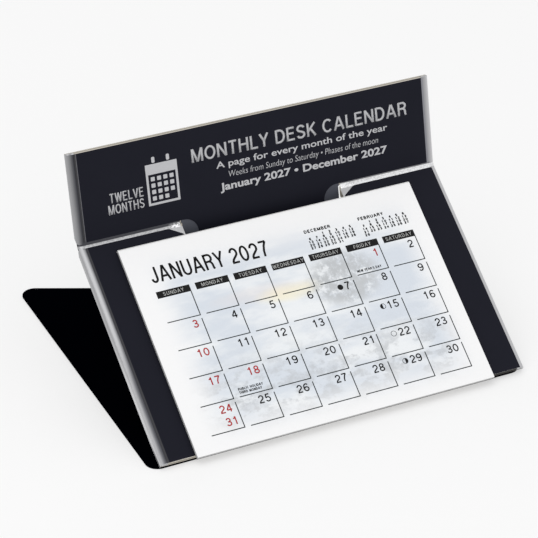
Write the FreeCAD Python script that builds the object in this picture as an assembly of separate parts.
import FreeCAD, Part
import math
import os

# Flip desk calendar: a folding board stand with a pad of twelve monthly leaves.
# Units are millimetres. +Z is up, the front faces -Y, and the origin is the centre of the
# base board's underside. Every board part is drawn flat in its own local frame and then
# tilted into place: x across, y up the slope, z out of the face.

# --- driving dimensions -----------------------------------------------------------------
PANEL_WIDTH = 187.3        # front panel and header, across
PANEL_LENGTH = 112.7       # front panel, cut bottom edge to fold
PANEL_SLOPE = 33.7         # front panel above the table, degrees
HEADER_HEIGHT = 44.6       # header, fold to top edge
HEADER_SLOPE = 78.0        # header above the table, degrees
BASE_WIDTH = 191.6
BASE_DEPTH = 167.4         # to the tips of the two rear feet
BASE_WAIST = 153.0         # depth of the base between the rear feet
BASE_CORNER = 6.0
FOOT_FLANK = 25.1          # slope of each rear foot's inner edge, degrees
BASE_THICKNESS = 0.8
FRONT_LIP = 0.35           # base showing in front of the panel's hinge

PRINT_THICKNESS = 0.2
FOIL_THICKNESS = 0.15
FACE_PLY = 1.6
BACK_PLY = 1.5
LINER_THICKNESS = 0.15

EDGE_ROLL = 3.2            # width of the rolled silver edge
EDGE_DROP = 1.75           # how far the roll falls before the side turns vertical
PRINT_MARGIN = 3.3         # print to the outer edge: header both sides, panel left
PANEL_RIGHT_MARGIN = 2.4   # print to the outer edge, panel right
FOLD_MARGIN = 1.5          # print to the fold line
STRIP_REACH = 1.6          # foil hinge strip, each side of the fold line

TONGUE_HALF_WIDTH = 41.0
TONGUE_PRINT_HALF_WIDTH = 33.0
TONGUE_CORNER = 5.0
NECK_EASE = 7.0            # inside corner where the header's print narrows to the tongue
PRINT_CORNER = 0.6
PRINT_SETBACK = 0.2        # panel's print, back from the window's edge
NOTCH_OUTER = 48.5         # where the panel's print starts to drop towards the window
NOTCH_DROP = 4.5
NOTCH_EASE = 3.0
DIE_GAP = 0.5              # die cut between tongue and panel
FOOT_GAP = 0.05            # tongue foot above the base

PAD_WIDTH = 152.4
PAD_LENGTH = 107.2
PAD_OVERHANG = 2.15        # pad below the panel's bottom edge
PAD_SHIFT = -0.6           # pad's centre, across from the panel's centre
PAD_TAPE_INNER = 48.0      # tape strips, from the pad's centre
PAD_TAPE_OUTER = 72.0
PAD_TAPE_MARGIN = 4.0
BINDING_GAP = 0.2          # padding compound off the turning leaves
BINDING_THICKNESS = 0.35
BOUND_LEAVES = 9           # leaves that the compound reaches up to
TAPE_THICKNESS = 0.2
BACKING_THICKNESS = 0.5
LEAF_THICKNESS = 0.1
LEAF_PITCH = 0.13

HEEL_RADIUS = 0.5          # rounded heel of the panel, centred on the stand hinge
HEEL_GAP = 0.05

GROOVE_FLARE = 1.0         # each side of the fold's groove opens this much per unit of depth
TONGUE_ROOT = 3.0          # overlap of the tongue with the header it grows from
LINER_START = 15.0         # panel's lining paper starts above the hinge tape
STRIP_GAP = 0.05           # between the foil hinge strips and what is beside them
OVERSHOOT = 1.0            # how far a cutter runs past what it cuts

MONTHS = ("january", "february", "march", "april", "may", "june", "july", "august",
          "september", "october", "november", "december")

# --- worked out -------------------------------------------------------------------------
TOTAL_THICKNESS = PRINT_THICKNESS + FOIL_THICKNESS + FACE_PLY + BACK_PLY + LINER_THICKNESS

# panel frame: the stand hinge is its origin, so the back face is at z = -HEEL_RADIUS
BACK_Z = -HEEL_RADIUS
BOARD_Z = BACK_Z + LINER_THICKNESS
PLY_Z = BOARD_Z + BACK_PLY
FOIL_Z = PLY_Z + FACE_PLY
PRINT_Z = FOIL_Z + FOIL_THICKNESS
FACE_Z = PRINT_Z + PRINT_THICKNESS
PANEL_BOTTOM = -HEEL_RADIUS
PANEL_TOP = PANEL_BOTTOM + PANEL_LENGTH

# header frame: the fold axis is its origin, in the middle of the foil
HEADER_SHIFT = -(FOIL_Z + FOIL_THICKNESS / 2)
FOLD_RELIEF = 0.15         # boards stop this far short of the fold line
HEADER_FACE = FACE_Z + HEADER_SHIFT
HEADER_BACK = BACK_Z + HEADER_SHIFT

HALF_WIDTH = PANEL_WIDTH / 2
BOARD_HALF_WIDTH = HALF_WIDTH - FOIL_THICKNESS
ROLL_START = HALF_WIDTH - EDGE_ROLL
PRINT_HALF_WIDTH = HALF_WIDTH - PRINT_MARGIN
PANEL_X = BASE_WIDTH / 2 - HALF_WIDTH
HINGE_Y = -BASE_DEPTH / 2 + FRONT_LIP
HINGE_Z = BASE_THICKNESS + HEEL_RADIUS + HEEL_GAP

slope = math.radians(PANEL_SLOPE)
lean = math.radians(HEADER_SLOPE)
FOLD_Y = HINGE_Y + PANEL_TOP * math.cos(slope) + HEADER_SHIFT * math.sin(slope)
FOLD_Z = HINGE_Z + PANEL_TOP * math.sin(slope) - HEADER_SHIFT * math.cos(slope)

# the tongue's back lower edge is what stands on the base
TONGUE_LENGTH = (FOLD_Z + HEADER_BACK * math.cos(lean) - BASE_THICKNESS - FOOT_GAP) / math.sin(lean)
FOOT_Y = FOLD_Y - TONGUE_LENGTH * math.cos(lean) - HEADER_BACK * math.sin(lean)
WINDOW_HALF_WIDTH = TONGUE_HALF_WIDTH + DIE_GAP
WINDOW_BOTTOM = PANEL_TOP - TONGUE_LENGTH - DIE_GAP

PAD_LEFT = PAD_SHIFT - PAD_WIDTH / 2
PAD_RIGHT = PAD_SHIFT + PAD_WIDTH / 2
PAD_BOTTOM = PANEL_BOTTOM - PAD_OVERHANG
PAD_TOP = PAD_BOTTOM + PAD_LENGTH
TAPE_Z = FACE_Z
BACKING_Z = TAPE_Z + TAPE_THICKNESS
LEAF_Z = BACKING_Z + BACKING_THICKNESS + (LEAF_PITCH - LEAF_THICKNESS)


def vec(x, y, z):
    return FreeCAD.Vector(x, y, z)


def block(x0, x1, y0, y1, z0, z1):
    return Part.makeBox(x1 - x0, y1 - y0, z1 - z0, vec(x0, y0, z0))


def plate(corners, z0, z1):
    """A flat plate. Each corner is (x, y, radius), in order round the outline."""
    points = [vec(x, y, z0) for x, y, radius in corners]
    edges = []
    starts = []
    ends = []
    for i, (x, y, radius) in enumerate(corners):
        here = points[i]
        back = (points[i - 1] - here).normalize()
        ahead = (points[(i + 1) % len(points)] - here).normalize()
        if radius == 0:
            starts.append(here)
            ends.append(here)
            continue
        half = back.getAngle(ahead) / 2
        reach = radius / math.tan(half)
        middle = (back + ahead).normalize() * (radius / math.sin(half) - radius)
        starts.append(here + back * reach)
        ends.append(here + ahead * reach)
        edges.append((i, Part.Arc(starts[i], here + middle, ends[i]).toShape()))
    arcs = dict(edges)
    outline = []
    for i in range(len(points)):
        if i in arcs:
            outline.append(arcs[i])
        outline.append(Part.LineSegment(ends[i], starts[(i + 1) % len(points)]).toShape())
    face = Part.Face(Part.Wire(outline))
    return face.extrude(vec(0, 0, z1 - z0))


def roll_profile(half_width, start, top, drop, bottom):
    """Section across a board whose left and right edges roll over: flat top, elliptical
    shoulders that fall by drop, then straight sides down to bottom."""
    width = half_width - start
    major = max(width, drop)
    minor = min(width, drop)
    edges = []
    for side in (1, -1):
        centre = vec(side * start, 0, top - drop)
        ellipse = Part.Ellipse(centre + vec(side * major, 0, 0), centre + vec(0, 0, minor), centre)
        crown = centre + vec(0, 0, drop)
        outer = centre + vec(side * width, 0, 0)
        first, last = sorted((ellipse.parameter(crown), ellipse.parameter(outer)))
        if last - first > math.pi:
            first, last = last, first + 2 * math.pi
        edges.append(Part.ArcOfEllipse(ellipse, first, last).toShape())
        if outer.z - bottom > 0.001:
            edges.append(Part.LineSegment(outer, vec(outer.x, 0, bottom)).toShape())
    edges.append(Part.LineSegment(vec(-start, 0, top), vec(start, 0, top)).toShape())
    edges.append(Part.LineSegment(vec(-half_width, 0, bottom), vec(half_width, 0, bottom)).toShape())
    return Part.Face(Part.Wire(Part.__sortEdges__(edges)))


def rolled_board(half_width, top, drop, bottom, y0, y1):
    """A board with rolled left and right edges, from y0 to y1 up the slope."""
    section = roll_profile(half_width, ROLL_START, top, drop, bottom)
    section.translate(vec(0, y0, 0))
    return section.extrude(vec(0, y1 - y0, 0))


def bent_strip(x0, x1, apex, dir_a, dir_b, reach_a, reach_b, radius, thickness):
    """A strip that lies along two directions and turns between them on an arc."""
    bisector = (dir_a + dir_b).normalize()
    half = dir_a.getAngle(bisector)
    centre = apex + bisector * (radius / math.sin(half))
    tangent = radius / math.tan(half)
    rim = []
    for r in (radius - thickness / 2, radius + thickness / 2):
        turn_a = centre + (apex + dir_a * tangent - centre).normalize() * r
        turn_b = centre + (apex + dir_b * tangent - centre).normalize() * r
        end_a = turn_a + dir_a * (reach_a - tangent)
        end_b = turn_b + dir_b * (reach_b - tangent)
        rim.append((end_a, turn_a, centre - bisector * r, turn_b, end_b))
    edges = []
    for end_a, turn_a, middle, turn_b, end_b in rim:
        edges.append(Part.LineSegment(end_a, turn_a).toShape())
        edges.append(Part.Arc(turn_a, middle, turn_b).toShape())
        edges.append(Part.LineSegment(turn_b, end_b).toShape())
    edges.append(Part.LineSegment(rim[0][0], rim[1][0]).toShape())
    edges.append(Part.LineSegment(rim[0][4], rim[1][4]).toShape())
    face = Part.Face(Part.Wire(Part.__sortEdges__(edges)))
    face.translate(vec(x0, 0, 0))
    return face.extrude(vec(x1 - x0, 0, 0))


def on_panel(shape):
    """Tilt a part drawn in the panel's frame into place."""
    placed = shape.copy()
    placed.rotate(vec(0, 0, 0), vec(1, 0, 0), PANEL_SLOPE)
    placed.translate(vec(PANEL_X, HINGE_Y, HINGE_Z))
    return placed


def on_header(shape):
    """Tilt a part drawn in the header's frame into place."""
    placed = shape.copy()
    placed.rotate(vec(0, 0, 0), vec(1, 0, 0), HEADER_SLOPE)
    placed.translate(vec(PANEL_X, FOLD_Y, FOLD_Z))
    return placed


# --- base -------------------------------------------------------------------------------
def base_board():
    """Thin black board: rounded corners, and two rear feet either side of a thumb recess."""
    easing = 12.0
    flank = math.radians(FOOT_FLANK)
    half = BASE_WIDTH / 2
    front = -BASE_DEPTH / 2
    # the sharp corner that the foot's rounding is cut from
    rear = BASE_DEPTH / 2 + BASE_CORNER * (math.tan(flank) + 1 / math.cos(flank) - 1)
    waist = front + BASE_WAIST
    recess = half - (rear - waist) / math.tan(flank)
    outline = [(-half, front, BASE_CORNER), (half, front, BASE_CORNER), (half, rear, BASE_CORNER),
               (recess, waist, easing), (-recess, waist, easing), (-half, rear, BASE_CORNER)]
    board = plate(outline, 0, BASE_THICKNESS)
    return board.cut(foot_score())


def foot_score():
    """Scored crease under the tongue's foot that keeps it from creeping forward."""
    depth = 0.15
    ahead = 1.6
    behind = 0.3
    half = TONGUE_HALF_WIDTH + 2
    section = [vec(-half, FOOT_Y - ahead, BASE_THICKNESS), vec(-half, FOOT_Y, BASE_THICKNESS - depth),
               vec(-half, FOOT_Y + behind, BASE_THICKNESS)]
    face = Part.Face(Part.makePolygon(section + section[:1]))
    score = face.extrude(vec(2 * half, 0, 0))
    score.translate(vec(PANEL_X, 0, 0))
    return score


def hinge_tape():
    """Black paper tape inside the angle between the base and the front panel."""
    reach = 14.0
    radius = 0.95
    thickness = 0.12
    end_margin = 2.0
    glue = 0.005
    off_board = glue + thickness / 2      # mid-plane of the tape, off the board it lies on
    half = HALF_WIDTH - end_margin
    flat = vec(0, 1, 0)
    up = vec(0, math.cos(slope), math.sin(slope))
    # the tape's two mid-planes, above the base and under the panel, meet at the apex
    over_base = off_board - HEEL_RADIUS - HEEL_GAP
    under_panel = BOARD_Z - off_board
    ahead = (over_base * math.cos(slope) - under_panel) / math.sin(slope)
    apex = vec(0, HINGE_Y + ahead, HINGE_Z + over_base)
    return bent_strip(PANEL_X - half, PANEL_X + half, apex, flat, up, reach, reach, radius, thickness)


# --- front panel ------------------------------------------------------------------------
def window(z0, z1):
    """The opening that the tongue was die cut from. It runs out through the fold."""
    half = WINDOW_HALF_WIDTH
    low = WINDOW_BOTTOM
    past = PANEL_TOP + OVERSHOOT
    corner = TONGUE_CORNER + DIE_GAP
    outline = [(-half, low, corner), (half, low, corner), (half, past, 0), (-half, past, 0)]
    return plate(outline, z0, z1)


def mitre(y_end, face, back):
    """Cutter for the groove along the fold: a wedge that opens towards the back."""
    flare = GROOVE_FLARE * (face - back)
    section = [vec(-PANEL_WIDTH, y_end, face), vec(-PANEL_WIDTH, y_end + flare, back),
               vec(-PANEL_WIDTH, y_end - flare, back)]
    return Part.Face(Part.makePolygon(section + section[:1])).extrude(vec(2 * PANEL_WIDTH, 0, 0))


def panel_groove():
    """Everything behind the foil within reach of the panel's end of the fold."""
    return mitre(PANEL_TOP, PRINT_Z + FOLD_RELIEF, BACK_Z - OVERSHOOT)


def heel_cut():
    """Rounds the panel's back lower edge about the stand hinge."""
    square = block(-PANEL_WIDTH, PANEL_WIDTH, -OVERSHOOT, 0, -OVERSHOOT, 0)
    heel = Part.makeCylinder(HEEL_RADIUS, 2 * PANEL_WIDTH, vec(-PANEL_WIDTH, 0, 0), vec(1, 0, 0))
    return square.cut(heel)


def panel_board_face():
    board = rolled_board(BOARD_HALF_WIDTH, FOIL_Z, FACE_PLY, PLY_Z, PANEL_BOTTOM, PANEL_TOP)
    return board.cut(window(PLY_Z, FOIL_Z)).cut(panel_groove())


def panel_board_back():
    board = block(-BOARD_HALF_WIDTH, BOARD_HALF_WIDTH, PANEL_BOTTOM, PANEL_TOP, BOARD_Z, PLY_Z)
    return board.cut(window(BOARD_Z, PLY_Z)).cut(panel_groove()).cut(heel_cut())


def panel_liner():
    """Black paper over the back of the panel, down to the hinge tape."""
    sheet = block(-BOARD_HALF_WIDTH, BOARD_HALF_WIDTH, LINER_START, PANEL_TOP, BACK_Z, BOARD_Z)
    return sheet.cut(window(BACK_Z, BOARD_Z)).cut(panel_groove())


def wrapped_foil(top, bottom, y0, y1):
    """Silver foil over the face and down both rolled edges."""
    outer = rolled_board(HALF_WIDTH, top, EDGE_DROP, bottom, y0, y1)
    inner = rolled_board(BOARD_HALF_WIDTH, top - FOIL_THICKNESS, FACE_PLY, bottom - OVERSHOOT,
                         y0 - OVERSHOOT, y1 + OVERSHOOT)
    return outer.cut(inner)


def fold_strip_bed(y0, y1, z0, z1):
    """Room for the two foil hinge strips, between the rolled edges and the window."""
    left = block(-ROLL_START, -WINDOW_HALF_WIDTH, y0, y1, z0, z1)
    right = block(WINDOW_HALF_WIDTH, ROLL_START, y0, y1, z0, z1)
    return left.fuse(right)


def panel_foil():
    foil = wrapped_foil(PRINT_Z, BOARD_Z, PANEL_BOTTOM, PANEL_TOP - FOLD_RELIEF)
    foil = foil.cut(window(BACK_Z, FACE_Z))
    foil = foil.cut(fold_strip_bed(PANEL_TOP - STRIP_REACH, PANEL_TOP, FOIL_Z, PRINT_Z))
    return foil.cut(panel_groove())


def panel_print():
    """Dark printed sheet. Its top corners are cut back where the tongue leaves the face."""
    top = PANEL_TOP - FOLD_MARGIN
    inner = WINDOW_HALF_WIDTH + PRINT_SETBACK
    low = WINDOW_BOTTOM - PRINT_SETBACK
    left = -PRINT_HALF_WIDTH
    right = HALF_WIDTH - PANEL_RIGHT_MARGIN
    outline = [(left, PANEL_BOTTOM, 0), (right, PANEL_BOTTOM, 0), (right, top, PRINT_CORNER),
               (NOTCH_OUTER, top, NOTCH_EASE), (inner, top - NOTCH_DROP, NOTCH_EASE),
               (inner, low, TONGUE_CORNER), (-inner, low, TONGUE_CORNER),
               (-inner, top - NOTCH_DROP, NOTCH_EASE), (-NOTCH_OUTER, top, NOTCH_EASE),
               (left, top, PRINT_CORNER)]
    return plate(outline, PRINT_Z, FACE_Z)


# --- header and tongue ------------------------------------------------------------------
def shifted(z):
    """A height in the panel's stack, in the header's frame."""
    return z + HEADER_SHIFT


def tongue(z0, z1):
    """One layer of the tongue, from its foot up into the header."""
    half = TONGUE_HALF_WIDTH
    foot = -TONGUE_LENGTH
    outline = [(-half, foot, TONGUE_CORNER), (half, foot, TONGUE_CORNER),
               (half, TONGUE_ROOT, 0), (-half, TONGUE_ROOT, 0)]
    return plate(outline, z0, z1)


def header_groove():
    """As panel_groove, kept off the tongue, which runs straight through the fold."""
    low = HEADER_BACK - OVERSHOOT
    groove = mitre(0, shifted(PRINT_Z) + FOLD_RELIEF, low)
    reach = 2 * TOTAL_THICKNESS
    clear = block(-WINDOW_HALF_WIDTH, WINDOW_HALF_WIDTH, -reach, reach, low - OVERSHOOT,
                  HEADER_FACE + OVERSHOOT)
    return groove.cut(clear)


def header_board_face():
    z0 = shifted(PLY_Z)
    z1 = shifted(FOIL_Z)
    board = rolled_board(BOARD_HALF_WIDTH, z1, FACE_PLY, z0, FOLD_RELIEF, HEADER_HEIGHT)
    board = board.cut(header_groove())
    return board.fuse(tongue(z0, z1)).removeSplitter()


def header_board_back():
    z0 = shifted(BOARD_Z)
    z1 = shifted(PLY_Z)
    board = block(-BOARD_HALF_WIDTH, BOARD_HALF_WIDTH, FOLD_RELIEF, HEADER_HEIGHT, z0, z1)
    board = board.cut(header_groove())
    return board.fuse(tongue(z0, z1)).removeSplitter()


def header_liner():
    """Black paper over the back of the header and its tongue."""
    z0 = HEADER_BACK
    z1 = shifted(BOARD_Z)
    sheet = block(-BOARD_HALF_WIDTH, BOARD_HALF_WIDTH, FOLD_RELIEF, HEADER_HEIGHT, z0, z1)
    sheet = sheet.cut(header_groove())
    return sheet.fuse(tongue(z0, z1)).removeSplitter()


def header_foil():
    z0 = shifted(FOIL_Z)
    z1 = shifted(PRINT_Z)
    foil = wrapped_foil(z1, shifted(BOARD_Z), FOLD_RELIEF, HEADER_HEIGHT)
    foil = foil.cut(fold_strip_bed(-OVERSHOOT, STRIP_REACH, z0, z1)).cut(header_groove())
    return foil.fuse(tongue(z0, z1)).removeSplitter()


def header_print():
    """Dark printed sheet of the header, running down the tongue between silver margins."""
    half = PRINT_HALF_WIDTH
    neck = TONGUE_PRINT_HALF_WIDTH
    foot = -TONGUE_LENGTH
    outline = [(-neck, foot, 0), (neck, foot, 0), (neck, FOLD_MARGIN, NECK_EASE),
               (half, FOLD_MARGIN, PRINT_CORNER), (half, HEADER_HEIGHT, 0), (-half, HEADER_HEIGHT, 0),
               (-half, FOLD_MARGIN, PRINT_CORNER), (-neck, FOLD_MARGIN, NECK_EASE)]
    return plate(outline, shifted(PRINT_Z), HEADER_FACE)


def fold_strip(side):
    """Foil left whole across the fold: the crease that the header turns on."""
    radius = 0.35
    x0, x1 = sorted((side * (WINDOW_HALF_WIDTH + DIE_GAP), side * (ROLL_START - STRIP_GAP)))
    down = vec(0, -math.cos(slope), -math.sin(slope))
    up = vec(0, math.cos(lean), math.sin(lean))
    reach = STRIP_REACH - STRIP_GAP
    return bent_strip(PANEL_X + x0, PANEL_X + x1, vec(0, FOLD_Y, FOLD_Z), down, up, reach, reach,
                      radius, FOIL_THICKNESS)


# --- calendar pad -----------------------------------------------------------------------
def pad_tape(side):
    """Double-sided tape that holds the pad, one strip each side of the window."""
    x0, x1 = sorted((side * PAD_TAPE_INNER, side * PAD_TAPE_OUTER))
    return block(x0, x1, PAD_TAPE_MARGIN, PAD_TOP - PAD_TAPE_MARGIN, TAPE_Z, BACKING_Z)


def pad_backing():
    return block(PAD_LEFT, PAD_RIGHT, PAD_BOTTOM, PAD_TOP, BACKING_Z, BACKING_Z + BACKING_THICKNESS)


def pad_binding():
    """Padding compound brushed along the pad's top edge."""
    near = PAD_TOP + BINDING_GAP
    top = LEAF_Z + BOUND_LEAVES * LEAF_PITCH
    strip = block(PAD_LEFT, PAD_RIGHT, near, near + BINDING_THICKNESS, BACKING_Z, top)
    root = block(PAD_LEFT, PAD_RIGHT, PAD_TOP, near, BACKING_Z, BACKING_Z + BACKING_THICKNESS)
    return strip.fuse(root).removeSplitter()


def leaf(month):
    """One sheet. Its bound edge is rounded about the line that it turns on."""
    level = len(MONTHS) - 1 - month
    z0 = LEAF_Z + level * LEAF_PITCH
    r = LEAF_THICKNESS / 2
    sheet = block(PAD_LEFT, PAD_RIGHT, PAD_BOTTOM, PAD_TOP - r, z0, z0 + LEAF_THICKNESS)
    edge = Part.makeCylinder(r, PAD_WIDTH, vec(PAD_LEFT, PAD_TOP - r, z0 + r), vec(1, 0, 0))
    return sheet.fuse(edge)


# --- write the parts --------------------------------------------------------------------
def build():
    nodes = {
        "base_board": base_board(),
        "hinge_tape": hinge_tape(),
        "panel_board_back": on_panel(panel_board_back()),
        "panel_board_face": on_panel(panel_board_face()),
        "panel_liner": on_panel(panel_liner()),
        "panel_foil": on_panel(panel_foil()),
        "panel_print": on_panel(panel_print()),
        "header_board_back": on_header(header_board_back()),
        "header_board_face": on_header(header_board_face()),
        "header_liner": on_header(header_liner()),
        "header_foil": on_header(header_foil()),
        "header_print": on_header(header_print()),
        "fold_strip_left": fold_strip(-1),
        "fold_strip_right": fold_strip(1),
        "pad_tape_left": on_panel(pad_tape(-1)),
        "pad_tape_right": on_panel(pad_tape(1)),
        "pad_backing": on_panel(pad_backing()),
        "pad_binding": on_panel(pad_binding()),
    }
    for number, month in enumerate(MONTHS):
        nodes["leaf_" + month] = on_panel(leaf(number))
    return nodes


def report_joints():
    """Print the hinge lines, in metres, as the record states them."""
    def line(label, y, z):
        print("%-14s x %.5f y %.5f z %.5f" % (label, PANEL_X / 1000, y / 1000, z / 1000))
    line("stand_fold", HINGE_Y, HINGE_Z)
    line("header_fold", FOLD_Y, FOLD_Z)
    for number, month in enumerate(MONTHS):
        y = PAD_TOP - LEAF_THICKNESS / 2
        z = LEAF_Z + (len(MONTHS) - 1 - number) * LEAF_PITCH + LEAF_THICKNESS / 2
        line(month, HINGE_Y + y * math.cos(slope) - z * math.sin(slope),
             HINGE_Z + y * math.sin(slope) + z * math.cos(slope))


def main():
    os.makedirs("parts", exist_ok=True)
    for name, shape in build().items():
        solids = len(shape.Solids)
        print("%-18s solids %d valid %s volume %.1f" % (name, solids, shape.isValid(), shape.Volume))
        shape.exportStep("parts/" + name + ".step")
    report_joints()
    print("tongue", round(TONGUE_LENGTH, 2), "foot", round(FOOT_Y, 2), "window", round(WINDOW_BOTTOM, 2))


main()
